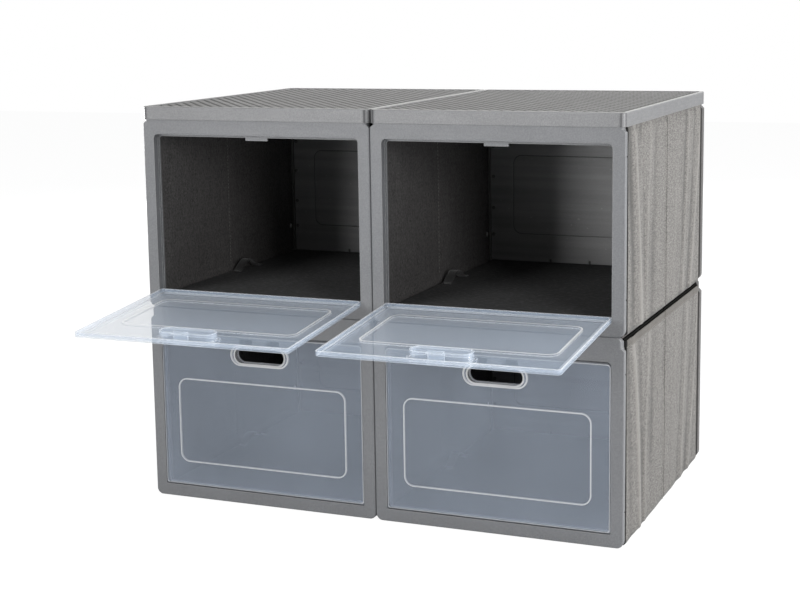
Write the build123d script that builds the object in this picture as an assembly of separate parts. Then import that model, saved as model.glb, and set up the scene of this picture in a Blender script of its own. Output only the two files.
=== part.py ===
"""Stack of four identical folding storage boxes, two wide and two high.

Each box has a front frame with a clear drop-down door, a back frame with a panel, fabric side
walls stiffened by boards, a fabric floor and a loose felt board. The upper boxes carry lids.
A box is built about its own middle in X, with its front face at Y 0 and its base at Z 0, and
then set in its place. Units are millimetres, with +Y to the back and +Z up.
"""
import os

from build123d import *

os.makedirs("parts", exist_ok=True)

# The box and the stack
PITCH = 300.0  # width that a box takes in its row
SIDE_GAP = 0.6  # gap between two boxes side by side
WIDTH = PITCH - SIDE_GAP
DEPTH = 396.0
HEIGHT = 240.0
HALF = WIDTH / 2
MIDDLE = DEPTH / 2
RUNNING = 0.3  # clearance between pieces that move or are assembled loosely

# Frames
CORNER = 8.0
EDGE_ROUND = 1.6
FRONT_FACE = 7.5  # full-size part of the front frame, in depth
FRONT_DEPTH = 11.5
BACK_DEPTH = 13.0
TUCK = 3.0  # step in from the outline, behind the front face, that the fabric tucks against
RECESS_HALF, RECESS_LOW, RECESS_HIGH, RECESS_DEPTH = 135.3, 15.2, 212.3, 9.0
OPENING_HALF, OPENING_LOW, OPENING_HIGH = 132.8, 17.2, 209.2
WALL = 2.2  # moulded wall thickness
LEDGE_TOP, LEDGE_THICK, LEDGE_REACH = 10.0, 3.0, 8.0
TAB_WIDTH, TAB_DROP = 29.0, 3.5
NUB_RADIUS = 1.2
NICK_HEIGHTS = (41.0, 198.0)

# Seat that the lid's skirt slips over, at the top of the frames
SEAT_STEP = 3.4
SEAT_LOW = 227.5
SEAT_ROUND = 2.5
SEAT_CORNER = 7.0

# Back panel and its rivets
PANEL_THICK = 2.4
PANEL_FRONT = DEPTH - 10.0
BACK_OPENING_HIGH = 206.2
REBATE_MARGIN = 6.7  # overlap of the panel on the frame
EMBOSS_HALF, EMBOSS_LOW, EMBOSS_HIGH = 108.0, 50.0, 158.5
RIVET_HEIGHTS = (48.5, 85.0, 128.0, 170.0)
RIVET_HEAD, RIVET_SHANK = 2.6, 1.4
NOTCH_SPACING = 55.0

# Side walls, floor and felt board
FABRIC = 1.0
LINING = 0.8
BOARD = 2.4
FABRIC_OUTER = HALF - 2.5
FABRIC_LOW, FABRIC_HIGH = 1.0, 234.0
LINING_HIGH = HEIGHT - 0.6
FLOOR_LOW, FLOOR_THICK = 1.2, 1.2
FOLD_GAP = 3.0  # gap between the two boards of a wall, where it folds
LINING_INNER = FABRIC_OUTER - FABRIC - BOARD - LINING - 0.2
BASE_BOARD = 4.0
BASE_BOARD_HALF = LINING_INNER - 5.8
BASE_BOARD_BACK = DEPTH - BACK_DEPTH - 1.0
LOOP_X, LOOP_Y = -128.0, 212.0
LOOP_WIDTH, LOOP_SPAN, LOOP_RISE, LOOP_THICK, LOOP_FOOT = 12.0, 50.0, 13.0, 1.2, 9.0

# Door, its hinge and latch
DOOR_HALF, DOOR_LOW, DOOR_HIGH = 134.8, 16.5, 209.5
DOOR_PLATE, DOOR_RIM, DOOR_RIM_WIDTH = 2.0, 6.0, 2.2
DOOR_ROUND = 1.2
BEAD, BEAD_WIDTH = 0.6, 2.0
PICTURE_HALF, PICTURE_LOW, PICTURE_HIGH = 113.0, 45.8, 152.0
SLOT_Z, SLOT_WIDTH, SLOT_HEIGHT = 186.3, 66.0, 19.0
COLLAR_WALL, COLLAR_BACK = 2.0, 10.0
RING_WIDTH, RING_HEIGHT, RING_BEAD = 78.0, 26.0, 1.5
HINGE_Y, HINGE_Z = 3.0, 18.6
PIN_RADIUS, PIN_LENGTH, BORE_CLEARANCE = 1.6, 2.0, 0.1
LATCH_HALF = 9.1
LATCH_SLOT_HALF, LATCH_SLOT_LOW, LATCH_SLOT_HIGH = 27.5, 199.8, 206.0
OPEN_ANGLE = 95.0

# Lid
LID_PROUD = 1.8  # how far the skirt stands out at the front and back
LID_LOW, LID_SEAT, LID_HIGH = 230.0, HEIGHT, 245.75
LID_ROUND = 1.2
LID_RIM = 4.6
LID_PANEL_DROP = 1.2
LID_RIB = 1.6


def prism(half, low, high, front, back, corner=0.0):
    """Block along Y with a rounded rectangle for its section, centred on X."""
    width, height = 2 * half, high - low
    outline = RectangleRounded(width, height, corner) if corner else Rectangle(width, height)
    plane = Plane(origin=(0, back, (low + high) / 2), x_dir=(1, 0, 0), z_dir=(0, -1, 0))
    return extrude(plane * outline, amount=back - front)


def slot_prism(width, height, centre_z, front, back):
    """Block along Y with a round-ended slot for its section."""
    plane = Plane(origin=(0, back, centre_z), x_dir=(1, 0, 0), z_dir=(0, -1, 0))
    return extrude(plane * SlotOverall(width, height), amount=back - front)


def block(x_low, x_high, y_low, y_high, z_low, z_high):
    """Plain block between two corners."""
    size = (x_high - x_low, y_high - y_low, z_high - z_low)
    centre = ((x_low + x_high) / 2, (y_low + y_high) / 2, (z_low + z_high) / 2)
    return Pos(*centre) * Box(*size)


def pair(shape):
    """A shape with its mirror image on the other side of the box."""
    return shape + mirror(shape, about=Plane.YZ)


def rod(x, y_low, y_high, z, radius):
    """Cylinder along Y."""
    return Pos(x, (y_low + y_high) / 2, z) * Rot(90, 0, 0) * Cylinder(radius, y_high - y_low)


def lid_seat_cut():
    """What the frames lose at the top so that the skirt slips over them, with a sloping shoulder."""
    tall = HEIGHT - SEAT_LOW + 1
    around = block(-PITCH, PITCH, -20, DEPTH + 20, SEAT_LOW, HEIGHT + 1)
    outline = RectangleRounded(2 * (HALF - SEAT_STEP), DEPTH, SEAT_ROUND)
    keep = Pos(0, MIDDLE, SEAT_LOW) * extrude(outline, amount=tall)
    around -= keep & prism(HALF - SEAT_STEP, 0, HEIGHT, -1, DEPTH + 1, SEAT_CORNER)
    inner, outer = (HALF - SEAT_STEP, SEAT_LOW), HALF + 1
    shoulder = Polyline(inner, (outer, SEAT_LOW - SEAT_STEP - 1), (outer, SEAT_LOW), close=True)
    plane = Plane(origin=(0, DEPTH + 20, 0), x_dir=(1, 0, 0), z_dir=(0, -1, 0))
    return around + pair(extrude(plane * make_face(shoulder), amount=DEPTH + 40))


def rounded_face(shape, y):
    """Rounds the outer edges of a frame's face at that depth."""
    edges = shape.edges().filter_by_position(Axis.Y, y - 0.01, y + 0.01)
    return fillet(edges, EDGE_ROUND)


def make_front_frame():
    frame = rounded_face(prism(HALF, 0, HEIGHT, 0, FRONT_FACE, CORNER), 0)
    frame += prism(HALF - TUCK, TUCK, HEIGHT - TUCK, FRONT_FACE, FRONT_DEPTH, CORNER - TUCK)
    frame -= prism(RECESS_HALF, RECESS_LOW, RECESS_HIGH, -1, RECESS_DEPTH, 5.5)
    frame -= prism(RECESS_HALF, RECESS_LOW, RECESS_LOW + 60, -1, RECESS_DEPTH, 2.0)
    frame -= prism(OPENING_HALF, OPENING_LOW, OPENING_HIGH, 0, FRONT_DEPTH + 1, 3.0)
    # hollow behind the top and side borders
    hollow = prism(HALF - TUCK - WALL, OPENING_LOW, HEIGHT - TUCK - WALL, WALL, FRONT_DEPTH + 1, 3.0)
    frame -= hollow - prism(RECESS_HALF + WALL, 0, RECESS_HIGH + WALL, 0, FRONT_DEPTH + 2, 7.0)
    tab_top = OPENING_HIGH + 1
    frame += block(
        -TAB_WIDTH / 2, TAB_WIDTH / 2, RECESS_DEPTH, FRONT_DEPTH, OPENING_HIGH - TAB_DROP, tab_top
    )
    frame += ledge(FRONT_DEPTH, FRONT_DEPTH + LEDGE_REACH)
    frame += pair(Pos(RECESS_HALF, FRONT_FACE, HEIGHT / 2) * Sphere(NUB_RADIUS))
    frame -= hinge_rods(PIN_RADIUS + BORE_CLEARANCE, DOOR_HALF - 1, RECESS_HALF + WALL + 1)
    for z in NICK_HEIGHTS:
        frame -= pair(block(HALF - 1, HALF + 1, FRONT_FACE - 2.5, FRONT_FACE, z - 1, z + 1))
    return frame - lid_seat_cut()


def ledge(y_low, y_high):
    """Ledge that carries one end of the felt board."""
    return block(-OPENING_HALF, OPENING_HALF, y_low, y_high, LEDGE_TOP - LEDGE_THICK, LEDGE_TOP)


def hinge_rods(radius, inner, outer):
    """A rod on the door's hinge line at each side, from inner to outer."""
    length = outer - inner
    return pair(Pos(inner + length / 2, HINGE_Y, HINGE_Z) * Rot(0, 90, 0) * Cylinder(radius, length))


def make_back_frame():
    front = DEPTH - BACK_DEPTH
    frame = rounded_face(prism(HALF, 0, HEIGHT, front, DEPTH, CORNER), DEPTH)
    frame -= prism(OPENING_HALF, OPENING_LOW, BACK_OPENING_HIGH, front - 1, DEPTH + 1, 3.0)
    margin = REBATE_MARGIN + RUNNING / 2
    low, high = OPENING_LOW - margin, BACK_OPENING_HIGH + margin
    frame -= prism(OPENING_HALF + margin, low, high, front - 1, PANEL_FRONT + PANEL_THICK, 2.0)
    frame += ledge(front - LEDGE_REACH, front)
    frame -= rivet_shanks(RIVET_SHANK + 0.05, PANEL_FRONT - 1, PANEL_FRONT + PANEL_THICK + 4)
    return frame - lid_seat_cut()


def rivet_shanks(radius, y_low, y_high):
    """A rod at each rivet's place."""
    x = OPENING_HALF + REBATE_MARGIN / 2
    rods = [rod(side * x, y_low, y_high, z, radius) for side in (-1, 1) for z in RIVET_HEIGHTS]
    return Compound(rods)


def make_back_panel():
    low, high = OPENING_LOW - REBATE_MARGIN, BACK_OPENING_HIGH + REBATE_MARGIN
    back = PANEL_FRONT + PANEL_THICK
    panel = prism(OPENING_HALF + REBATE_MARGIN, low, high, PANEL_FRONT, back, 1.5)
    groove = prism(EMBOSS_HALF, EMBOSS_LOW, EMBOSS_HIGH, PANEL_FRONT - 1, PANEL_FRONT + 0.6, 12.0)
    groove -= prism(
        EMBOSS_HALF - 1.4, EMBOSS_LOW + 1.4, EMBOSS_HIGH - 1.4, PANEL_FRONT - 2, PANEL_FRONT + 2, 10.6
    )
    panel -= groove
    for step in (-1, 0, 1):
        x = step * NOTCH_SPACING
        panel -= block(x - 1.5, x + 1.5, PANEL_FRONT - 1, back + 1, low - 1, low + 7)
    for hole in rivet_shanks(RIVET_SHANK + 0.05, PANEL_FRONT - 1, back + 1):
        panel -= hole
    return panel


def make_rivets():
    x = OPENING_HALF + REBATE_MARGIN / 2
    rivets = []
    for side in (-1, 1):
        for z in RIVET_HEIGHTS:
            head = rod(side * x, PANEL_FRONT - 1.2, PANEL_FRONT, z, RIVET_HEAD)
            head = fillet(head.edges().sort_by(Axis.Y)[0], 0.8)
            shank = rod(side * x, PANEL_FRONT, PANEL_FRONT + PANEL_THICK + 3.8, z, RIVET_SHANK)
            rivets.append(head + shank)
    return Compound(rivets)


def wall_span():
    """The walls' reach in Y, between the frames."""
    return FRONT_DEPTH + 0.1, DEPTH - BACK_DEPTH - 0.1


def make_outer_fabric(side):
    front, back = wall_span()
    sheet = block(FABRIC_OUTER - FABRIC, FABRIC_OUTER, front, back, FABRIC_LOW, FABRIC_HIGH)
    return sheet if side > 0 else mirror(sheet, about=Plane.YZ)


def make_lining(side):
    front, back = wall_span()
    low = LEDGE_TOP - LEDGE_THICK
    sheet = block(LINING_INNER, LINING_INNER + LINING, front, back, low, LINING_HIGH)
    return sheet if side > 0 else mirror(sheet, about=Plane.YZ)


def make_wall_boards():
    """Front and rear board of each side wall, between its two fabrics."""
    front, back = wall_span()
    inner = LINING_INNER + LINING + 0.1
    margin = 2.0
    low, high = FABRIC_LOW + 3, LINING_HIGH - 3
    ahead = block(inner, inner + BOARD, front + margin, MIDDLE - FOLD_GAP / 2, low, high)
    behind = block(inner, inner + BOARD, MIDDLE + FOLD_GAP / 2, back - margin, low, high)
    mirrored = [mirror(board, about=Plane.YZ) for board in (ahead, behind)]
    return Compound([ahead, behind, *mirrored])


def make_floor_fabric():
    front, back = wall_span()
    return block(-LINING_INNER, LINING_INNER, front, back, FLOOR_LOW, FLOOR_LOW + FLOOR_THICK)


def make_base_board():
    front = FRONT_DEPTH + 1.0
    outline = RectangleRounded(2 * BASE_BOARD_HALF, BASE_BOARD_BACK - front, 6.0)
    centre_y = (front + BASE_BOARD_BACK) / 2
    return Pos(0, centre_y, LEDGE_TOP) * extrude(outline, amount=BASE_BOARD)


def make_pull_loop():
    """Webbing loop sewn to the felt board: a low arch with a foot at each end."""
    half = LOOP_SPAN / 2
    top = LEDGE_TOP + BASE_BOARD
    corner = (LOOP_X - LOOP_WIDTH / 2, LOOP_Y, top)
    plane = Plane(origin=corner, x_dir=(0, 1, 0), z_dir=(1, 0, 0))
    outer = ThreePointArc((-half, 0), (0, LOOP_RISE), (half, 0))
    inner_half = half - LOOP_THICK * 1.6
    inner = ThreePointArc((inner_half, 0), (0, LOOP_RISE - LOOP_THICK), (-inner_half, 0))
    ends = [Line((half, 0), (inner_half, 0)), Line((-inner_half, 0), (-half, 0))]
    loop = extrude(plane * make_face([outer, ends[0], inner, ends[1]]), amount=LOOP_WIDTH)
    for side in (-1, 1):
        start, end = sorted((LOOP_Y + side * (half - 1.5), LOOP_Y + side * (half + LOOP_FOOT)))
        loop += block(
            LOOP_X - LOOP_WIDTH / 2, LOOP_X + LOOP_WIDTH / 2, start, end, top, top + LOOP_THICK
        )
    return loop


def make_door():
    door = prism(DOOR_HALF, DOOR_LOW, DOOR_HIGH, 0, DOOR_RIM, 4.5)
    door += prism(DOOR_HALF, DOOR_LOW, DOOR_LOW + 60, 0, DOOR_RIM, 1.2)
    door = fillet(door.edges().filter_by_position(Axis.Y, -0.01, 0.01), DOOR_ROUND)
    inset = DOOR_RIM_WIDTH
    door -= prism(DOOR_HALF - inset, DOOR_LOW + inset, DOOR_HIGH - inset, DOOR_PLATE, DOOR_RIM + 1, 2.3)
    picture = prism(PICTURE_HALF, PICTURE_LOW, PICTURE_HIGH, -BEAD, 0, 12.0)
    low, high = PICTURE_LOW + BEAD_WIDTH, PICTURE_HIGH - BEAD_WIDTH
    picture -= prism(PICTURE_HALF - BEAD_WIDTH, low, high, -1, 1, 12.0 - BEAD_WIDTH)
    ring = slot_prism(RING_WIDTH, RING_HEIGHT, SLOT_Z, -BEAD, 0)
    ring -= slot_prism(RING_WIDTH - 2 * RING_BEAD, RING_HEIGHT - 2 * RING_BEAD, SLOT_Z, -1, 1)
    collar = slot_prism(
        SLOT_WIDTH + 2 * COLLAR_WALL, SLOT_HEIGHT + 2 * COLLAR_WALL, SLOT_Z, DOOR_PLATE, COLLAR_BACK
    )
    door += [picture, ring, collar]
    door -= slot_prism(SLOT_WIDTH, SLOT_HEIGHT, SLOT_Z, -2, COLLAR_BACK + 1)
    door -= block(
        -LATCH_SLOT_HALF, LATCH_SLOT_HALF, -1, DOOR_PLATE + 0.5, LATCH_SLOT_LOW, LATCH_SLOT_HIGH
    )
    return door + hinge_rods(PIN_RADIUS, DOOR_HALF - 0.5, DOOR_HALF + PIN_LENGTH)


def make_latch():
    """Springy tongue at the door's free edge, with a hook that reaches behind the frame's tab."""
    low, arm_low, arm_high = LATCH_SLOT_LOW + RUNNING, 200.9, 202.4
    hook_front, hook_back, hook_top = FRONT_DEPTH + 0.4, FRONT_DEPTH + 2.1, 207.6
    profile = Polyline(
        (0.2, low), (DOOR_PLATE, low), (DOOR_PLATE, arm_low), (hook_back, arm_low),
        (hook_back, hook_top - 1.5), (hook_front + 0.7, hook_top), (hook_front, hook_top),
        (hook_front, arm_high), (DOOR_PLATE, arm_high), (DOOR_PLATE, 205.6), (0.2, 205.6), close=True,
    )
    plane = Plane(origin=(-LATCH_HALF, 0, 0), x_dir=(0, 1, 0), z_dir=(1, 0, 0))
    return extrude(plane * make_face(profile), amount=2 * LATCH_HALF)


def make_lid():
    length = DEPTH + 2 * LID_PROUD
    lid = Pos(0, MIDDLE, LID_LOW) * extrude(
        RectangleRounded(WIDTH, length, CORNER), amount=LID_HIGH - LID_LOW
    )
    lid = fillet(lid.edges().filter_by_position(Axis.Z, LID_HIGH - 0.01, LID_HIGH + 0.01), LID_ROUND)
    inside = RectangleRounded(2 * (FABRIC_OUTER + RUNNING), DEPTH + 0.4, SEAT_ROUND + 0.2)
    lid -= Pos(0, MIDDLE, LID_LOW) * extrude(inside, amount=LID_SEAT - LID_LOW)
    field = RectangleRounded(WIDTH - 2 * LID_RIM, length - 2 * LID_RIM, CORNER - 2)
    panel_top = LID_HIGH - LID_PANEL_DROP
    lid -= Pos(0, MIDDLE, panel_top) * extrude(field, amount=LID_PANEL_DROP + 1)
    # thinned from below between the frames, with ribs
    under = block(-HALF + 10, HALF - 10, 16, DEPTH - 18, LID_SEAT - 1, panel_top - 1.8)
    for x in (-70.0, 0.0, 70.0):
        under -= block(x - LID_RIB / 2, x + LID_RIB / 2, 0, DEPTH, LID_SEAT - 2, LID_HIGH)
    for y in (MIDDLE - 120.0, MIDDLE - 40.0, MIDDLE + 40.0, MIDDLE + 120.0):
        under -= block(-HALF, HALF, y - LID_RIB / 2, y + LID_RIB / 2, LID_SEAT - 2, LID_HIGH)
    return lid - under


def make_box():
    """The pieces of one box, with its door closed."""
    return {
        "front_frame": make_front_frame(),
        "back_frame": make_back_frame(),
        "back_panel": make_back_panel(),
        "panel_rivets": make_rivets(),
        "left_outer_fabric": make_outer_fabric(-1),
        "right_outer_fabric": make_outer_fabric(1),
        "left_lining": make_lining(-1),
        "right_lining": make_lining(1),
        "wall_boards": make_wall_boards(),
        "floor_fabric": make_floor_fabric(),
        "base_board": make_base_board(),
        "pull_loop": make_pull_loop(),
        "door": make_door(),
        "door_latch": make_latch(),
    }


def stack(pieces, lid):
    """All the nodes of the stack, each in its place."""
    hinge = Axis((0, HINGE_Y, HINGE_Z), (1, 0, 0))
    nodes = {}
    for row, row_z in (("lower", 0.0), ("upper", HEIGHT)):
        for column, column_x in (("left", -PITCH / 2), ("right", PITCH / 2)):
            for name, piece in pieces.items():
                if row == "upper" and name.startswith("door"):
                    piece = piece.rotate(hinge, OPEN_ANGLE)
                nodes[f"{row}_{column}_{name}"] = Pos(column_x, 0, row_z) * piece
            if row == "upper":
                nodes[f"{column}_lid"] = Pos(column_x, 0, row_z) * lid
    return nodes


def centred(nodes):
    """The nodes moved in Y so that the whole stands over the origin, and how far they moved."""
    boxes = [node.bounding_box() for node in nodes.values()]
    shift = -(min(b.min.Y for b in boxes) + max(b.max.Y for b in boxes)) / 2
    return {name: Pos(0, shift, 0) * node for name, node in nodes.items()}, shift


NODES, Y_SHIFT = centred(stack(make_box(), make_lid()))
print(f"moved {Y_SHIFT:.4f} mm in Y")
for name, node in NODES.items():
    export_step(node, f"parts/{name}.step")
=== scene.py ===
"""Looks for the stack of folding storage boxes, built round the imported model. Units are metres."""

import math
from collections import namedtuple

import bpy
from mathutils import Matrix, Vector, noise


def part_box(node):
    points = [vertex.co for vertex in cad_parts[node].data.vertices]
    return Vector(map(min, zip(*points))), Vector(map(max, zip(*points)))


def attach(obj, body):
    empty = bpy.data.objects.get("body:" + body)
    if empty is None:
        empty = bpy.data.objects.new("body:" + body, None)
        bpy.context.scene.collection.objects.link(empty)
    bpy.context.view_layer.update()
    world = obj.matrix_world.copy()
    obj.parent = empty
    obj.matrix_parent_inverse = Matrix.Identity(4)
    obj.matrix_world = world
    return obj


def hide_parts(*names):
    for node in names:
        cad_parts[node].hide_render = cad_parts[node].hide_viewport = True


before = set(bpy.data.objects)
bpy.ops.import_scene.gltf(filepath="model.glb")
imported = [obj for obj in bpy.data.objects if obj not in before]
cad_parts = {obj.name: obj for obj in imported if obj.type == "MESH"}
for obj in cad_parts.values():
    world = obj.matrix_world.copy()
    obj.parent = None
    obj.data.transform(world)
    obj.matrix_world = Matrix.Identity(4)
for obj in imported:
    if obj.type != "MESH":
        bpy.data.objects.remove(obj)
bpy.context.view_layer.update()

MM = 0.001
COLUMNS = ("left", "right")
BOXES = [(row, column) for row in ("lower", "upper") for column in COLUMNS]
SIDES = {"left": -1, "right": 1}  # each wall's name, and which way it faces along X

# What the frame says of one box
FRONT_LOW, FRONT_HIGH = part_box("lower_left_front_frame")
HALF_WIDTH = (FRONT_HIGH.x - FRONT_LOW.x) / 2
BOX_HEIGHT = FRONT_HIGH.z - FRONT_LOW.z
FRONT_Y = FRONT_LOW.y

OPEN_ANGLE = math.radians(95.0)  # how far the upper doors hang open at rest
HINGE = Vector((0.0, 3.0 * MM, 18.6 * MM))  # a door's axis, from the middle of the box's front lower edge


def box_origin(row, column):
    """Middle of the box's front lower edge."""
    low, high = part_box(f"{row}_{column}_front_frame")
    return Vector(((low.x + high.x) / 2, FRONT_Y, low.z))


def body_of_box(row, column):
    return "lower_boxes" if row == "lower" else f"upper_{column}_box"


# ---------------------------------------------------------------- materials

class Shader:
    """A new material with short calls for its nodes."""

    def __init__(self, name):
        self.material = bpy.data.materials.new(name)
        self.material.use_nodes = True
        self.tree = self.material.node_tree
        self.tree.nodes.clear()
        self.surface = self.node("OutputMaterial").inputs["Surface"]

    def node(self, kind, **settings):
        """New node. A setting is a property, an input's name with _ for spaces, or i and its number."""
        made = self.tree.nodes.new("ShaderNode" + kind)
        for key, value in settings.items():
            if key[0] == "i" and key[1:].isdigit():
                self.feed(made.inputs[int(key[1:])], value)
            elif hasattr(made, key):
                setattr(made, key, value)
            else:
                self.feed(made.inputs[key.replace("_", " ")], value)
        return made

    def feed(self, socket, value):
        """Links a node's first output or a socket, or sets a plain value."""
        if isinstance(value, bpy.types.Node):
            value = value.outputs[0]
        if isinstance(value, bpy.types.NodeSocket):
            self.tree.links.new(value, socket)
        else:
            socket.default_value = value

    def math(self, operation, a, b=0.0):
        return self.node("Math", operation=operation, i0=a, i1=b).outputs[0]

    def axes(self):
        """Object coordinates as X, Y and Z."""
        return self.node("SeparateXYZ", Vector=self.node("TexCoord").outputs["Object"]).outputs

    def place(self, scale=(1, 1, 1), rotation=(0, 0, 0)):
        """Object coordinates, scaled and turned."""
        where = self.node("TexCoord").outputs["Object"]
        return self.node("Mapping", Vector=where, Scale=scale, Rotation=rotation).outputs[0]

    def noise(self, scale, detail=2.0, vector=None, roughness=0.5, distortion=0.0):
        vector = self.place() if vector is None else vector
        made = self.node("TexNoise", Vector=vector, Scale=scale, Detail=detail,
                         Roughness=roughness, Distortion=distortion)
        return made.outputs["Fac"]

    def spread(self, value, low, high, to_low=0.0, to_high=1.0, interpolation="LINEAR"):
        """Maps low..high to to_low..to_high, held at both ends."""
        return self.node("MapRange", interpolation_type=interpolation, Value=value, From_Min=low,
                         From_Max=high, To_Min=to_low, To_Max=to_high).outputs[0]

    def mix(self, factor, a, b):
        """From colour a to colour b."""
        made = self.node("Mix", data_type="RGBA")
        sockets = {socket.identifier: socket for socket in made.inputs}
        for name, value in (("Factor_Float", factor), ("A_Color", a), ("B_Color", b)):
            self.feed(sockets[name], value)
        return next(socket for socket in made.outputs if socket.identifier == "Result_Color")

    def bevel(self, radius):
        """Normal rounded over the nearby edges, and its agreement with the true one, which is 1 on flats."""
        rounded = self.node("Bevel", Radius=radius, samples=4)
        true = self.node("NewGeometry").outputs["Normal"]
        agreement = self.node("VectorMath", operation="DOT_PRODUCT", i0=rounded, i1=true)
        return rounded.outputs[0], agreement.outputs["Value"]

    def bump(self, height, strength, distance, **over):
        """Bumped normal, over the true one or over Normal=."""
        return self.node("Bump", Height=height, Strength=strength, Distance=distance, **over).outputs[0]

    def finish(self, shader):
        self.feed(self.surface, shader)
        return self.material


def colour(red, green, blue):
    return (red, green, blue, 1.0)


def shaded(tone, share):
    return colour(*(share * value for value in tone[:3]))


def painted_corner_reflections(s, normal):
    """Painted dark reflection: two upright bands round each corner, where its face is 22.5 degrees off one
    side or the other.
    """
    facing = s.node("SeparateXYZ", Vector=normal).outputs
    turn = s.math("MULTIPLY", s.math("MULTIPLY", facing["X"], facing["Y"]), 2.0)
    off_band = s.math("ABSOLUTE", s.math("SUBTRACT", s.math("MULTIPLY", turn, turn), 0.5))
    return s.spread(off_band, 0.42, 0.12)


def moulded_plastic(name, base, wear_and_highlight, roughness, edge=0.45, specular=0.5, streaks=0.0, sunk_shade=None, crown=None):
    """Moulded plastic with a fine spark-eroded grain, faint flow clouds and paler edges, a painted highlight
    with some wear.

    edge is how far edges go to the pale tone, a painted highlight with some wear. streaks adds level flow
    lines, pale specks and painted shade in hollows. sunk is (height, rise, tone) of painted shade: below that
    height, upward faces take the darker tone, and reach their own one rise above it. crown is (height, tone)
    of a painted highlight on level faces above that height. It also keeps the painted edge highlight off
    upright edges, and paints dark reflection bands on the upright corners.
    """
    s = Shader(name)
    cloud = s.noise(9.0, 3.0)
    fine = s.noise(900.0)
    scuffs = s.noise(60.0, 4.0, s.place((1.0, 1.0, 7.0)), 0.6)
    tone = s.mix(s.spread(cloud, 0.3, 0.7), shaded(base, 0.93), shaded(base, 1.06))
    tone = s.mix(s.spread(fine, 0.35, 0.65, 0.0, 0.12), tone, wear_and_highlight)
    rounded, agreement = s.bevel(0.9 * MM)
    # Painted highlight with some wear: bevelled edges go towards the pale tone
    rim = s.spread(agreement, 0.995, 0.80, 0.0, edge)
    rim = s.math("MULTIPLY", rim, s.spread(scuffs, 0.3, 0.6, 0.6, 1.0))
    true = s.node("NewGeometry").outputs["Normal"]
    up = s.node("SeparateXYZ", Vector=true).outputs["Z"]
    height = s.axes()["Z"]
    rough = s.spread(scuffs, 0.3, 0.7, roughness - 0.05, roughness + 0.07)
    if crown:
        # Keeps the painted edge highlight off upright edges
        lean = s.math("ABSOLUTE", s.node("SeparateXYZ", Vector=rounded).outputs["Z"])
        rim = s.math("MULTIPLY", rim, s.spread(lean, 0.10, 0.35))
        # Painted reflection: dark bands round the lid's upright corners, which are rougher there
        bands = painted_corner_reflections(s, true)
        tone = s.mix(s.math("MULTIPLY", bands, 0.7), tone, colour(0.050, 0.050, 0.052))
        rough = s.math("ADD", rough, s.math("MULTIPLY", bands, 0.5))
    tone = s.mix(rim, tone, wear_and_highlight)
    if streaks:
        level = s.noise(90.0, 3.0, s.place((0.04, 1.0, 1.0)), 0.6)
        specks = s.noise(260.0, 1.0, s.place((0.7, 1.0, 1.0)))
        tone = s.mix(s.spread(level, 0.35, 0.68, 0.0, streaks), tone, wear_and_highlight)
        tone = s.mix(s.spread(specks, 0.70, 0.76, 0.0, 0.6), tone, wear_and_highlight)
        # Painted shade: near-black in grooves and hollows, found by ambient occlusion
        hollows = s.node("AmbientOcclusion", Distance=5.0 * MM, samples=6, only_local=True).outputs["AO"]
        tone = s.mix(s.spread(hollows, 0.95, 0.62, 0.0, 0.95), tone, colour(0.006, 0.006, 0.006))
    if sunk_shade:
        floor, rise, hollow_shade = sunk_shade
        # Painted shade: upward faces low in the field take the dark tone
        deep = s.math("MULTIPLY", s.spread(height, floor, floor + rise, 1.0, 0.0), s.spread(up, 0.3, 0.6))
        tone = s.mix(deep, tone, hollow_shade)
    if crown:
        level, pale = crown
        # Painted highlight: level faces above the crown's height, the rim's top, take the pale tone
        top = s.math("MULTIPLY", s.spread(height, level - 0.1 * MM, level), s.spread(up, 0.85, 0.95))
        tone = s.mix(s.math("MULTIPLY", top, s.spread(scuffs, 0.3, 0.6, 0.8, 1.0)), tone, pale)
    normal = s.bump(fine, 0.25, 0.05 * MM, Normal=rounded)
    return s.finish(s.node("BsdfPrincipled", Base_Color=tone, Roughness=rough, Normal=normal,
                           Specular_IOR_Level=specular))


def weave_height(s, across, up, pitch):
    """Plain weave: threads over and under, as a height from 0 to 1."""
    turns = math.pi / pitch
    wave_a = s.math("SINE", s.math("MULTIPLY", across, turns))
    wave_b = s.math("SINE", s.math("MULTIPLY", up, turns))
    return s.spread(s.math("MULTIPLY", wave_a, wave_b), -1.0, 1.0)


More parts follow.
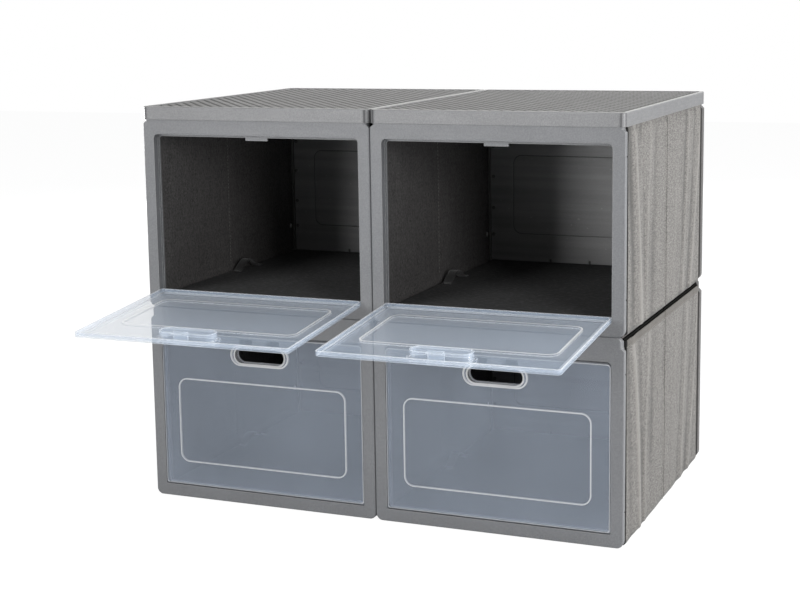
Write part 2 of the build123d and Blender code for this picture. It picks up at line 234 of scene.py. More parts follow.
def linen(name, dark, mid, light, sheen=0.25, mottled=0.7, nap=(1.0, 0.27, 1.0)):
    """Melange linen look: mixed fibres, slubs along both threads, a fine plain weave.

    nap stretches the mottling. The mesh attribute named relief paints light on ridges and shade in hollows.
    """
    s = Shader(name)
    where = s.axes()
    weave = weave_height(s, where["Y"], where["Z"], 0.55 * MM)
    fibres = s.noise(420.0, 3.0, roughness=0.65)
    flecks = s.noise(190.0, 2.0, s.place((1.0, 1.0, 0.45)), 0.7)
    slub_up = s.noise(330.0, 2.0, s.place((1.0, 1.0, 0.09)))
    slub_along = s.noise(330.0, 2.0, s.place((1.0, 0.09, 1.0)))
    cloud = s.noise(22.0, 3.0, s.place((1.0, 1.0, 0.5)))
    tone = s.mix(s.spread(fibres, 0.36, 0.64), dark, light)
    tone = s.mix(s.spread(flecks, 0.40, 0.62, 0.0, 0.55), tone, mid)
    threads = s.math("ADD", s.spread(slub_up, 0.35, 0.65, -0.5, 0.5),
                     s.spread(slub_along, 0.35, 0.65, -0.5, 0.5))
    tone = s.mix(s.spread(threads, -0.8, 0.8, 0.0, 0.35), tone, light)
    tone = s.mix(s.spread(weave, 0.0, 0.45, 0.30, 0.0), tone, dark)
    tone = s.mix(s.spread(cloud, 0.35, 0.65, 0.0, 0.22), tone, mid)
    mottle = s.noise(620.0, 2.0, s.place(nap), 0.6)
    brushed = s.noise(110.0, 3.0, s.place((1.0, 1.0, 0.10)), 0.6)
    tone = s.mix(s.spread(mottle, 0.49, 0.38, 0.0, mottled), tone, dark)
    tone = s.mix(s.spread(mottle, 0.51, 0.62, 0.0, mottled), tone, light)
    tone = s.mix(s.spread(brushed, 0.48, 0.32, 0.0, 0.22 * mottled), tone, dark)
    tone = s.mix(s.spread(brushed, 0.55, 0.72, 0.0, 0.22 * mottled), tone, light)
    painted_light_and_shade = s.node("Attribute", attribute_name="painted_light_and_shade").outputs["Fac"]
    # Painted highlight on ridges and painted shade in hollows, from the relief attribute
    tone = s.mix(s.spread(painted_light_and_shade, 0.20, 1.3, 0.0, 0.8), tone, light)
    tone = s.mix(s.spread(painted_light_and_shade, -0.15, -1.0, 0.0, 0.9), tone, dark)
    height = s.math("ADD", weave, s.math("MULTIPLY", threads, 0.8))
    return s.finish(s.node("BsdfPrincipled", Base_Color=tone, Roughness=0.92, Sheen_Weight=sheen,
                           Normal=s.bump(height, 0.5, 0.16 * MM), Sheen_Roughness=0.5,
                           Specular_IOR_Level=0.2))


def felt(name, dark, light, fleck):
    """Needled felt: matted fibres with pale flecks and a soft, uneven surface."""
    s = Shader(name)
    fibres = s.noise(380.0, 4.0, roughness=0.7, distortion=1.5)
    hairs = s.noise(520.0, 2.0, s.place((0.25, 1.0, 1.0), (0.0, 0.0, 0.6)))
    cloud = s.noise(26.0, 4.0, roughness=0.6)
    tone = s.mix(s.spread(fibres, 0.35, 0.65), dark, light)
    tone = s.mix(s.spread(cloud, 0.35, 0.68, 0.0, 0.5), tone, light)
    tone = s.mix(s.spread(hairs, 0.55, 0.68, 0.0, 0.5), tone, fleck)
    height = s.math("ADD", fibres, s.math("MULTIPLY", hairs, 0.5))
    return s.finish(s.node("BsdfPrincipled", Base_Color=tone, Roughness=0.95, Sheen_Weight=0.05,
                           Normal=s.bump(height, 0.6, 0.35 * MM), Sheen_Roughness=0.6,
                           Specular_IOR_Level=0.15))


def webbing_material(name):
    """Narrow strap in a coarse plain weave."""
    s = Shader(name)
    where = s.axes()
    weave = weave_height(s, where["X"], where["Y"], 0.9 * MM)
    tone = s.mix(weave, colour(0.008, 0.008, 0.008), colour(0.026, 0.025, 0.024))
    tone = s.mix(s.spread(s.noise(700.0), 0.4, 0.7, 0.0, 0.3), tone, colour(0.05, 0.049, 0.047))
    return s.finish(s.node("BsdfPrincipled", Base_Color=tone, Roughness=0.75, Sheen_Weight=0.3,
                           Normal=s.bump(weave, 0.7, 0.25 * MM)))


def thread_material(name, base, pale):
    """Twisted sewing thread."""
    s = Shader(name)
    twist = s.noise(1500.0, 1.0, s.place(rotation=(0.6, 0.0, 0.6)))
    tone = s.mix(s.spread(twist, 0.4, 0.6), base, pale)
    return s.finish(s.node("BsdfPrincipled", Base_Color=tone, Roughness=0.7,
                           Normal=s.bump(twist, 0.5, 0.1 * MM)))


def board_material(name):
    """Black pasteboard."""
    s = Shader(name)
    pulp = s.noise(300.0, 4.0, roughness=0.7)
    tone = s.mix(s.spread(pulp, 0.35, 0.65), colour(0.003, 0.003, 0.003), colour(0.007, 0.007, 0.006))
    return s.finish(s.node("BsdfPrincipled", Base_Color=tone, Roughness=0.9,
                           Normal=s.bump(pulp, 0.4, 0.1 * MM), Specular_IOR_Level=0.05))


def rivet_material(name):
    """Pressed aluminium with a fine grain."""
    s = Shader(name)
    grain = s.noise(1200.0)
    tone = s.mix(s.spread(grain, 0.4, 0.6), colour(0.62, 0.62, 0.63), colour(0.80, 0.80, 0.80))
    return s.finish(s.node("BsdfPrincipled", Base_Color=tone, Roughness=0.35, Metallic=1.0,
                           Normal=s.bump(grain, 0.3, 0.03 * MM)))


# Outlines on a clear door, each its middle's height, half width, half height and corner in millimetres,
# from the middle of the box's front lower edge
PLATE = (113.0, 134.8, 96.5, 4.5)
STEP = (113.0, 128.8, 90.5, 3.0)
PICTURE = (98.9, 113.0, 53.1, 12.0)
RING = (186.3, 39.0, 13.0, 12.9)
COLLAR = (186.3, 35.0, 11.5, 11.4)
DOOR_FOOT = (18.0 * MM, 60.0 * MM)  # the heights between which a shut door's haze thins out

# The same plastic as it rests: shut over its dark box, or hanging open in the light. Some light is painted
# in:
# the shut door's dimmer clear is painted shade, darkening the box seen through it, and the open door's denser
# body and white edges are painted light. turned is the door's angle, picture the bead's width, solid the
# body's share over the haze, foot what the door's foot adds to it and lines what beads add. rings, rim, step
# and crisp weigh the slot's lines, the plate's outline, the line inside it and the edges, whose whitening is
# a painted highlight.
# tint colours the body, and clear what shows through.
DoorLook = namedtuple("DoorLook", "turned picture rings rim step solid foot lines crisp tint clear")
SHUT = DoorLook(turned=0.0, picture=1.3 * MM, rings=1.0, rim=0.75, step=0.0, solid=(0.136, 0.166),
                foot=0.030, lines=0.29, crisp=0.0, tint=colour(0.67, 0.76, 0.89),
                clear=colour(0.82, 0.83, 0.86))
OPEN = DoorLook(turned=OPEN_ANGLE, picture=1.9 * MM, rings=0.3, rim=0.9, step=0.35, solid=(0.178, 0.208),
                foot=0.0, lines=0.44, crisp=0.85, tint=colour(0.66, 0.79, 0.97),
                clear=colour(0.98, 0.97, 0.955))


def rounded_box_distance(s, x, z, half_x, half_z, corner):
    """Signed distance from a rounded rectangle's outline, negative inside."""
    qx = s.math("SUBTRACT", s.math("ABSOLUTE", x), half_x - corner)
    qz = s.math("SUBTRACT", s.math("ABSOLUTE", z), half_z - corner)
    outside_x, outside_z = s.math("MAXIMUM", qx, 0.0), s.math("MAXIMUM", qz, 0.0)
    length = s.math("SQRT", s.math("ADD", s.math("MULTIPLY", outside_x, outside_x),
                                   s.math("MULTIPLY", outside_z, outside_z)))
    inside = s.math("MINIMUM", s.math("MAXIMUM", qx, qz), 0.0)
    return s.math("SUBTRACT", s.math("ADD", length, inside), corner)


def clear_plastic(name, origin, look):
    """Frosted clear polypropylene, denser and whiter at rims, beads and cut edges.

    origin is the middle of the box's front lower edge.
    """
    s = Shader(name)
    turn = s.node("VectorRotate", rotation_type="X_AXIS", Vector=s.node("TexCoord").outputs["Object"],
                  Center=origin + HINGE, Angle=-look.turned)
    where = s.node("SeparateXYZ", Vector=turn).outputs
    x = s.math("SUBTRACT", where["X"], origin.x)
    z = s.math("SUBTRACT", where["Z"], origin.z)

    def outline(shape):
        middle, half_x, half_z, corner = (value * MM for value in shape)
        return rounded_box_distance(s, x, s.math("SUBTRACT", z, middle), half_x, half_z, corner)

    def line(shape, width):
        """1 along a line just inside the outline, and 0 away from it."""
        off = s.math("ABSOLUTE", s.math("ADD", outline(shape), width / 2))
        return s.spread(off, width * 0.75, width * 0.35, interpolation="SMOOTHSTEP")

    rim = s.math("MULTIPLY", line(PLATE, 1.3 * MM), look.rim)
    if look.step:
        rim = s.math("MAXIMUM", rim, s.math("MULTIPLY", line(STEP, 1.6 * MM), look.step))
    rings = s.math("MAXIMUM", line(RING, 1.8 * MM), line(COLLAR, 2.2 * MM))
    marks = s.math("MAXIMUM", line(PICTURE, look.picture), s.math("MULTIPLY", rings, look.rings))
    marks = s.math("MAXIMUM", marks, rim)

    true = s.node("NewGeometry").outputs["Normal"]
    local = s.node("VectorTransform", vector_type="NORMAL", convert_from="WORLD", convert_to="OBJECT",
                   Vector=true)
    upright = s.node("VectorRotate", rotation_type="X_AXIS", Vector=local, Angle=-look.turned)
    facing = s.math("ABSOLUTE", s.node("SeparateXYZ", Vector=upright).outputs["Y"])
    side = s.spread(facing, 0.75, 0.25)
    marks = s.math("MULTIPLY", marks, s.math("SUBTRACT", 1.0, side))

    frost = s.noise(520.0, 3.0, roughness=0.6)
    haze = s.noise(14.0, 3.0, s.place((1.0, 1.0, 0.6)))
    solid = s.spread(haze, 0.3, 0.7, *look.solid)
    solid = s.math("ADD", solid, s.spread(z, *DOOR_FOOT, look.foot, 0.0))
    solid = s.math("ADD", solid, s.spread(frost, 0.3, 0.7, -0.004, 0.004))
    solid = s.math("ADD", solid, s.math("MULTIPLY", marks, look.lines))
    cut = s.spread(outline(PLATE), -1.4 * MM, -0.5 * MM, 0.12, 0.24)
    solid = s.math("MAXIMUM", solid, s.math("MULTIPLY", side, cut))
    pale = s.math("MAXIMUM", marks, side)
    if look.crisp:
        # Painted highlight: the open door's bevelled edges go denser and white
        crisp = s.spread(s.bevel(0.45 * MM)[1], 0.99, 0.85)
        solid = s.math("ADD", solid, s.math("MULTIPLY", crisp, look.crisp))
        pale = s.math("MAXIMUM", marks, crisp)
    normal = s.bump(frost, 0.008, 0.05 * MM)
    body = s.node("BsdfPrincipled", Base_Color=s.mix(pale, look.tint, colour(0.96, 0.96, 0.96)),
                  Roughness=0.32, Normal=normal, IOR=1.49)
    through = s.node("BsdfTransparent", Color=look.clear)
    veil = s.node("MixShader", Fac=solid, i1=through, i2=body)
    gloss = s.node("BsdfGlossy", Color=colour(1, 1, 1), Roughness=0.20, Normal=normal)
    shine = s.math("MULTIPLY", s.node("Fresnel", IOR=1.45), 0.22)
    return s.finish(s.node("MixShader", Fac=shine, i1=veil, i2=gloss))


FIELD_SUNK = 1.2 * MM  # how far each lid's field lies below its rim
FIELD_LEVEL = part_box("left_lid")[1].z - FIELD_SUNK
# The second colour of each plastic is the pale tone of wear and of the painted edge highlight
FRAME_GREY = moulded_plastic("frame_grey", colour(0.134, 0.138, 0.147), colour(0.48, 0.48, 0.47), 0.40,
                             edge=0.85)
# The lid's sunk tone is painted shade on the field between the diamonds, its crown tone a painted highlight
# on the rim's top
LID_GREY = moulded_plastic("lid_grey", colour(0.148, 0.150, 0.156), colour(0.60, 0.59, 0.57), 0.36,
                           sunk_shade=(FIELD_LEVEL + 0.2 * MM, 0.4 * MM, colour(0.050, 0.050, 0.049)),
                           crown=(FIELD_LEVEL + 0.9 * MM, colour(0.38, 0.375, 0.36)))
# Its sunk tone is painted shade at the feet of the diamonds
LID_FIELD = moulded_plastic("lid_field_grey", colour(0.205, 0.202, 0.197), colour(0.50, 0.49, 0.48), 0.50,
                            edge=0.2,
                            sunk_shade=(FIELD_LEVEL + 0.25 * MM, 0.45 * MM, colour(0.022, 0.022, 0.021)))
BACK_GREY = moulded_plastic("back_frame_dark", colour(0.085, 0.083, 0.082), colour(0.26, 0.25, 0.24), 0.42)
# Its streaks bring painted shade in the grooves
PANEL_GREY = moulded_plastic("back_panel_dark", colour(0.165, 0.164, 0.166), colour(0.38, 0.38, 0.38), 0.34,
                             edge=0.6, specular=0.9, streaks=0.30)
LINEN = linen("linen_melange", colour(0.031, 0.029, 0.026), colour(0.088, 0.083, 0.077),
              colour(0.192, 0.183, 0.171))
HEM = linen("hem_band", colour(0.078, 0.073, 0.067), colour(0.100, 0.094, 0.086),
            colour(0.122, 0.115, 0.106), 0.1, 0.2)
# Near-black cloth as painted shade: the strips in the gaps, the cloth beside the front frame and the cut
# edges
GAP_SHADE_CLOTH = linen("gap_shade_cloth", colour(0.004, 0.004, 0.004), colour(0.007, 0.007, 0.006),
                colour(0.014, 0.013, 0.012), 0.0, 0.2)
LINING = linen("charcoal_lining", colour(0.034, 0.032, 0.032), colour(0.080, 0.076, 0.075),
               colour(0.150, 0.143, 0.141), 0.05, 0.40, (1.0, 1.4, 0.4))
FLOOR_CLOTH = linen("floor_nonwoven", colour(0.011, 0.011, 0.011), colour(0.019, 0.019, 0.018),
                    colour(0.038, 0.037, 0.035), 0.05, 0.5, (1.0, 1.0, 1.0))
FELT = felt("black_felt", colour(0.012, 0.012, 0.0125), colour(0.042, 0.042, 0.043), colour(0.15, 0.15, 0.15))
WEBBING = webbing_material("webbing_black")
THREAD = thread_material("grey_thread", colour(0.16, 0.155, 0.145), colour(0.34, 0.33, 0.31))
BLACK_THREAD = thread_material("black_thread", colour(0.02, 0.02, 0.02), colour(0.06, 0.06, 0.06))
BOARD = board_material("pasteboard")
RIVET = rivet_material("rivet_aluminium")

NODE_MATERIALS = {
    "front_frame": FRAME_GREY,
    "back_frame": BACK_GREY,
    "back_panel": PANEL_GREY,
    "panel_rivets": BACK_GREY,
    "wall_boards": BOARD,
}


def paint(node, material):
    """Gives a CAD node one material."""
    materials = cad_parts[node].data.materials
    materials.clear()
    materials.append(material)


def paint_cad_nodes():
    for row, column in BOXES:
        for part, material in NODE_MATERIALS.items():
            paint(f"{row}_{column}_{part}", material)
        clear = clear_plastic(f"frosted_{row}_{column}", box_origin(row, column),
                              SHUT if row == "lower" else OPEN)
        for part in ("door", "door_latch"):
            paint(f"{row}_{column}_{part}", clear)
    for column in COLUMNS:
        paint(f"{column}_lid", LID_GREY)


# ------------------------------------------------------------- mesh helpers

def new_piece(name, vertices, faces, materials, smooth=True, slots=None):
    mesh = bpy.data.meshes.new(name)
    mesh.from_pydata([tuple(v) for v in vertices], [], faces)
    mesh.validate()
    for polygon in mesh.polygons:
        polygon.use_smooth = smooth
    piece = bpy.data.objects.new(name, mesh)
    bpy.context.scene.collection.objects.link(piece)
    for material in materials:
        mesh.materials.append(material)
    if slots:
        for polygon, slot in zip(mesh.polygons, slots):
            polygon.material_index = slot
    return piece


def smoothstep(value, low, high):
    """0 up to low, 1 from high on, and smooth between them."""
    t = min(1.0, max(0.0, (value - low) / (high - low)))
    return t * t * (3 - 2 * t)


def bell(off, width):
    """1 in the middle, falling to nothing over about two widths."""
    return math.exp(-(off / width) ** 2)


def wander(x, y, z):
    """Smooth noise about 0, the same every run."""
    return noise.noise(Vector((x, y, z)))


def steps(low, high, spacing):
    """Evenly spaced values from low to high."""
    count = max(1, round((high - low) / spacing))
    return [low + (high - low) * i / count for i in range(count + 1)]


def merged(values):
    """Grid lines in order, each once."""
    return sorted({round(value, 6) for value in values})


def to_edge(x, y, low, high):
    """How far inside its nearest edge a point lies, from the corners of a rectangle."""
    return min(x - low[0], high[0] - x, y - low[1], high[1] - y)


def slab_faces(across, up):
    """Quads of a closed slab between two grids, each with its cell, or None on the four cut edges."""
    layer = across * up
    for j in range(up - 1):
        for i in range(across - 1):
            a = j * across + i
            yield (a, a + 1, a + 1 + across, a + across), (i, j)
            yield tuple(v + layer for v in (a + across, a + 1 + across, a + 1, a)), (i, j)
    for i in range(across - 1):
        low, high = i, (up - 1) * across + i
        yield (low + 1, low, low + layer, low + 1 + layer), None
        yield (high, high + 1, high + 1 + layer, high + layer), None
    for j in range(up - 1):
        low, high = j * across, j * across + across - 1
        yield (low, low + across, low + across + layer, low + layer), None
        yield (high + across, high, high + layer, high + across + layer), None


def tube_faces(start, rings, count):
    """Quads between each ring of count points and the next."""
    for ring in range(rings - 1):
        for k in range(count):
            a, b = start + ring * count + k, start + ring * count + (k + 1) % count
            yield a, a + count, b + count, b


def level_slab(name, xs, ys, top, bottom, material):
    """Closed sheet or board lying in X and Y, between top(x, y) and bottom(x, y)."""
    vertices = [(x, y, height(x, y)) for height in (top, bottom) for y in ys for x in xs]
    faces = [quad for quad, _ in slab_faces(len(xs), len(ys))]
    return new_piece(name, vertices, faces, [material])


def cloth_slab(name, middle, ys, zs, outer, thickness, side, materials, slot_of=None, painted_light_and_shade=None, rim=0):
    """Closed sheet of cloth standing in Y and Z, its outer face at outer(y, z) from the box's middle.

    relief(y, z), painted light and shade, is kept on the mesh for the material. rim is the material slot of
    the cut edges.
    """
    vertices = []
    for depth in (0.0, thickness):
        vertices += [(side * (outer(y, z) - depth), y, z) for z in zs for y in ys]
    faces, slots = [], []
    for quad, cell in slab_faces(len(ys), len(zs)):
        faces.append(quad if side > 0 else quad[::-1])
        if cell is None:
            slots.append(rim)
        else:
            slots.append(slot_of(ys[cell[0]], zs[cell[1]]) if slot_of else 0)
    piece = new_piece(name, vertices, faces, materials, True, slots)
    if painted_light_and_shade:
        values = [painted_light_and_shade(y, z) for z in zs for y in ys]
        stored = piece.data.attributes.new("painted_light_and_shade", "FLOAT", "POINT")
        stored.data.foreach_set("value", values + values)
    piece.data.transform(Matrix.Translation((middle, 0, 0)))
    return piece


# Each ring of a stitch: its place along the thread, then shares of the width and rise
STITCH_RINGS = ((-0.5, 0.15, 0.25), (-0.28, 0.8, 1.0), (0.28, 0.8, 1.0), (0.5, 0.15, 0.25))
STITCH_PROFILE = ((-0.5, 0.0), (-0.35, 0.85), (0.35, 0.85), (0.5, 0.0))


def sew(name, points, along, out, size, material, body):
    """Row of short sewn threads: a low rounded bar at each point, of size (length, width, rise)."""
    length, width, rise = size
    along, out = Vector(along), Vector(out)
    across = along.cross(out)
    vertices, faces = [], []
    for point in points:
        start = len(vertices)
        for place, wide, tall in STITCH_RINGS:
            centre = Vector(point) + along * (place * length)
            for beside, above in STITCH_PROFILE:
                vertices.append(centre + across * (beside * width * wide) + out * (above * rise * tall))
        corners = len(STITCH_PROFILE)
        faces += tube_faces(start, len(STITCH_RINGS), corners)
        faces.append(tuple(range(start, start + corners)))
        faces.append(tuple(reversed(range(len(vertices) - corners, len(vertices)))))
    thread = new_piece(name, vertices, faces, [material])
    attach(thread, body)


# ------------------------------------------------------- side walls of cloth

WALL_STITCH = (2.3 * MM, 0.5 * MM, 0.28 * MM)
WALL_STITCH_PITCH = 3.4 * MM
LINING_STITCH = (2.9 * MM, 0.8 * MM, 0.35 * MM)
FLOOR_STITCH = (2.9 * MM, 0.6 * MM, 0.3 * MM)
LINING_STITCH_PITCH = 4.6 * MM
CLOTH, LINING_CLOTH = 1.0 * MM, 0.8 * MM  # thicknesses
HEM_HEIGHT = 9.0 * MM
# The dark strip is painted shade in the gap behind the flange
EDGE_SHADE_BAND = 5.0 * MM  # the dark strip of a wall's cloth behind the front frame
CREASES = (  # shares of the depth at the top, middle and bottom, then width and rise in millimetres
    (0.020, 0.055, 0.085, 12.0, -0.9),
    (0.085, 0.145, 0.180, 7.0, 1.6),
    (0.150, 0.205, 0.225, 7.0, -0.8),
    (0.285, 0.258, 0.246, 6.0, 0.9),
    (0.350, 0.330, 0.310, 9.0, -0.5),
    (0.660, 0.625, 0.600, 9.0, 0.4),
    (0.770, 0.740, 0.690, 7.0, -0.7),
    (0.825, 0.785, 0.745, 6.0, 0.9),
    (0.905, 0.860, 0.805, 7.0, -0.7),
    (0.985, 0.925, 0.855, 6.5, 1.2),
)
WALL_DEPTH_MM = 371.0  # what the creases' widths are shares of


def ripple(share, height, seed):
    """Outward swell of the cloth in millimetres, from long upright creases that wander a little."""
    swell = 0.0
    for index, (top, middle, bottom, width, rise) in enumerate(CREASES):
        upper, lower = 2 * height - 1, 1 - 2 * height
        centre = top * height * upper + middle * 4 * height * (1 - height) + bottom * (1 - height) * lower
        centre += 0.016 * wander(index * 3.1 + seed, height * 1.1, seed)
        span = width / WALL_DEPTH_MM * (1.0 + 0.4 * wander(index, seed, height * 1.7))
        fade = 0.85 + 0.5 * wander(index * 1.7, seed * 2.3, height * 1.4 + 4.0)
        swell += rise * max(0.0, min(1.2, fade)) * bell(share - centre, span)
    swell += 0.35 * wander(share * 6.0, height * 2.0, seed * 1.3)
    swell += 0.20 * wander(share * 30.0, height * 3.0, seed * 2.7)
    return swell


def make_outer_fabric(row, column, word, seed):
    """Linen cloth of one side wall, with creases and the fold seam, and a hem on the lower boxes."""
    side = SIDES[word]
    node = f"{row}_{column}_{word}_outer_fabric"
    low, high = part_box(node)
    origin = box_origin(row, column)
    tucked = max(abs(low.x - origin.x), abs(high.x - origin.x))
    depth = high.y - low.y
    seam = (low.y + high.y) / 2
    hem_low = high.z - HEM_HEIGHT
    faces_neighbour = column != word
    most = HALF_WIDTH - 0.15 * MM if faces_neighbour else HALF_WIDTH + 1.4 * MM

    def outer(y, z):
        share, height = (y - low.y) / depth, (z - low.z) / (high.z - low.z)
        edges = min(smoothstep(y, low.y, low.y + 9 * MM), smoothstep(high.y - y, 0.0, 9 * MM))
        under_skirt = smoothstep(high.z - z, 4 * MM, 13 * MM) if row == "upper" else 1.0
        full = edges * under_skirt
        plump = tucked + (HALF_WIDTH - 1.5 * MM - tucked) * (0.35 + 0.65 * full)
        if row == "upper":
            plump = tucked + (plump - tucked) * (0.15 + 0.85 * under_skirt)
        below_hem = smoothstep(hem_low - z, -2 * MM, 25 * MM)
        swell = ripple(share, height, seed) * MM * full * (0.35 + 0.65 * below_hem)
        groove = -0.9 * MM * bell(y - seam, 1.3 * MM)
        lip = 0.55 * MM * bell(y - seam + 4.2 * MM, 2.2 * MM)
        hem = 0.0
        if row == "lower":
            hem = 0.35 * MM * smoothstep(z, hem_low - 1.2 * MM, hem_low + 0.4 * MM)
            hem -= 0.5 * MM * smoothstep(z, high.z - 1.6 * MM, high.z)
        return min(most, plump + swell + groove + lip + hem)

    # Painted light and shade for the material: light on the creases' ridges and the seam's lip, shade in
    # their hollows, in the seam's groove and along the front, back and bottom edges
    def painted_light_and_shade(y, z):
        share, height = (y - low.y) / depth, (z - low.z) / (high.z - low.z)
        lip = 1.1 * bell(y - seam + 3.6 * MM, 1.6 * MM)
        groove = 2.4 * bell(y - seam, 1.3 * MM)
        shade = 0.8 * (1 - smoothstep(y, low.y + 1 * MM, low.y + 10 * MM))
        shade += 0.7 * (1 - smoothstep(high.y - y, 0.0, 7 * MM))
        shade += 0.8 * (1 - smoothstep(z, low.z, low.z + 3 * MM))
        return ripple(share, height, seed) + lip - groove - shade

    def slot_of(y, z):
        # Painted shade: the cloth next to the front frame takes the near-black cloth
        if y < low.y + EDGE_SHADE_BAND:
            return 2
        return 1 if z >= hem_low - 0.1 * MM and row == "lower" else 0

    ys = merged(steps(low.y, high.y, 2.4 * MM)
                + [seam + d * MM for d in (-6, -4.8, -3.6, -1.5, -0.9, -0.4, 0.4, 0.9, 1.5)])
    zs = merged(steps(low.z, hem_low - 1.2 * MM, 4.5 * MM)
                + [hem_low - 0.6 * MM, hem_low, hem_low + 0.6 * MM]
                + steps(hem_low + 1.5 * MM, high.z, 1.6 * MM))
    # The cut edges take the near-black cloth too, painted shade in the gaps between the boxes
    piece = cloth_slab(f"{node}_cloth", origin.x, ys, zs, outer, CLOTH, side, [LINEN, HEM, GAP_SHADE_CLOTH],
                       slot_of, painted_light_and_shade, 2)
    body = body_of_box(row, column)
    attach(piece, body)
    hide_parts(node)

    seam_top = high.z - 16 * MM
    if row == "lower":
        seam_top = hem_low - 2 * MM
        z = hem_low + 1.3 * MM
        points = [(side * outer(y, z) + origin.x, y, z)
                  for y in steps(low.y + 6 * MM, high.y - 6 * MM, WALL_STITCH_PITCH)]
        sew(f"{node}_hem_stitches", points, (0, 1, 0), (side, 0, 0), WALL_STITCH, THREAD, body)
    y = seam - 4.4 * MM
    points = [(side * outer(y, z) + origin.x, y, z)
              for z in steps(low.z + 6 * MM, seam_top, WALL_STITCH_PITCH)]
    sew(f"{node}_seam_stitches", points, (0, 0, 1), (side, 0, 0), WALL_STITCH, THREAD, body)


def make_gap_shade_strip(row, column, word):
    """Near-black strip in the gap between the front frame's flange and the cloth, as painted shade, and its
    mate at the back.
    """
    side = SIDES[word]
    low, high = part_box(f"{row}_{column}_{word}_outer_fabric")
    origin = box_origin(row, column)
    heights = steps(origin.z + 4.0 * MM, BOX_HEIGHT + origin.z - 15.5 * MM, 8 * MM)
    outer_x, inner_x = HALF_WIDTH - 2.3 * MM, HALF_WIDTH - 4.2 * MM
    crown, crown_steps = 0.9 * MM, 6
    vertices, faces = [], []
    for start, end in ((FRONT_Y + 7.6 * MM, low.y + 1.0 * MM), (high.y - 1.0 * MM, high.y + 0.15 * MM)):
        profile = []
        for k in range(crown_steps + 1):
            t = k / crown_steps
            profile.append((outer_x - crown * (2 * t - 1) ** 2, start + (end - start) * t))
        profile += [(inner_x, end), (inner_x, start)]
        base = len(vertices)
        count = len(profile)
        for z in heights:
            wobble = 0.12 * MM * wander(z * 60, start * 100, side)
            vertices += [(origin.x + side * (px + wobble), py, z) for px, py in profile]
        outward = [(a, d, c, b) for a, b, c, d in tube_faces(base, len(heights), count)]
        outward.append(tuple(reversed(range(base, base + count))))
        outward.append(tuple(range(len(vertices) - count, len(vertices))))
        faces += [face if side > 0 else face[::-1] for face in outward]
    piece = new_piece(f"{row}_{column}_{word}_edge_binding", vertices, faces, [GAP_SHADE_CLOTH])
    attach(piece, body_of_box(row, column))


def make_lining(row, column, word, seed):
    """Charcoal cloth inside one wall, slack between its boards, with a stitched seam at the fold."""
    side = SIDES[word]
    node = f"{row}_{column}_{word}_lining"
    low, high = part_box(node)
    origin = box_origin(row, column)
    inner = min(abs(low.x - origin.x), abs(high.x - origin.x))
    depth = high.y - low.y
    seam = (low.y + high.y) / 2

    def face(y, z):
        share, height = (y - low.y) / depth, (z - low.z) / (high.z - low.z)
        edges = min(smoothstep(y, low.y, low.y + 12 * MM), smoothstep(high.y - y, 0.0, 12 * MM))
        ends = min(smoothstep(z, low.z, low.z + 15 * MM), smoothstep(high.z - z, 0.0, 12 * MM))
        swell = 0.8 * wander(share * 7.0 + seed, height * 1.6, seed)
        swell += 0.35 * wander(share * 22.0, height * 5.0, seed * 1.9)
        groove = 0.5 * bell(y - seam, 1.2 * MM)
        flare = 4.0 * (1 - smoothstep(z, low.z + 4 * MM, low.z + 17 * MM))
        flare *= smoothstep(z, low.z - 2 * MM, low.z + 4 * MM)
        flare *= edges * (0.8 + 0.4 * wander(share * 5.0, seed, 0.0))
        return inner - 0.1 * MM - MM * (0.8 * max(-0.7, min(0.7, swell)) * edges * ends - groove + flare)

    ys = merged(steps(low.y, high.y, 4.0 * MM) + [seam + d * MM for d in (-2.4, -1.6, -0.8, 0.8, 1.6, 2.4)])
    zs = steps(low.z, low.z + 18 * MM, 2.0 * MM)
    zs += steps(zs[-1], high.z, 6.0 * MM)[1:]
    piece = cloth_slab(f"{node}_cloth", origin.x, ys, zs, lambda y, z: face(y, z) + LINING_CLOTH,
                       LINING_CLOTH, side, [LINING])
    body = body_of_box(row, column)
    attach(piece, body)
    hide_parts(node)
    y = seam - 1.6 * MM
    points = [(side * face(y, z) + origin.x, y, z)
              for z in steps(low.z + 20 * MM, high.z - 8 * MM, LINING_STITCH_PITCH)]
    sew(f"{node}_seam_stitches", points, (0, 0, 1), (-side, 0, 0), LINING_STITCH, THREAD, body)


def make_floor_cloth(row, column, seed):
    """Thin cloth under the felt board, sewn along both sides, where it meets the walls."""
    node = f"{row}_{column}_floor_fabric"
    low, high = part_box(node)
    origin = box_origin(row, column)
    half = HALF_WIDTH - 3.45 * MM
    xs = steps(origin.x - half, origin.x + half, 8.0 * MM)
    ys = steps(low.y, high.y, 8.0 * MM)

    def top(x, y):
        inside = smoothstep(to_edge(x, y, (xs[0], ys[0]), (xs[-1], ys[-1])), 0.0, 16 * MM)
        slack = 0.25 * wander(x * 14, y * 9, seed) + 0.1 * wander(x * 50, y * 40, seed)
        return high.z - 0.1 * MM + slack * inside * MM

    piece = level_slab(f"{node}_cloth", xs, ys, top, lambda x, y: top(x, y) - LINING_CLOTH, FLOOR_CLOTH)
    body = body_of_box(row, column)
    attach(piece, body)
    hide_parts(node)
    points = [(x, y, top(x, y)) for x in (xs[0] + 9 * MM, xs[-1] - 9 * MM)
              for y in steps(low.y + 8 * MM, high.y - 8 * MM, LINING_STITCH_PITCH)]
    sew(f"{node}_stitches", points, (0, 1, 0), (0, 0, 1), FLOOR_STITCH, BLACK_THREAD, body)


# The stud's rings in millimetres: radius, then how far it stands out
STUD_PROFILE = ((2.5, -0.1), (2.5, 0.25), (2.2, 0.7), (1.6, 1.05), (0.8, 1.3))
STUD_TIP = 1.36 * MM
STUD_STRETCH = 1.4  # a stud is this much taller than it is wide
STUD_SEGMENTS = 20


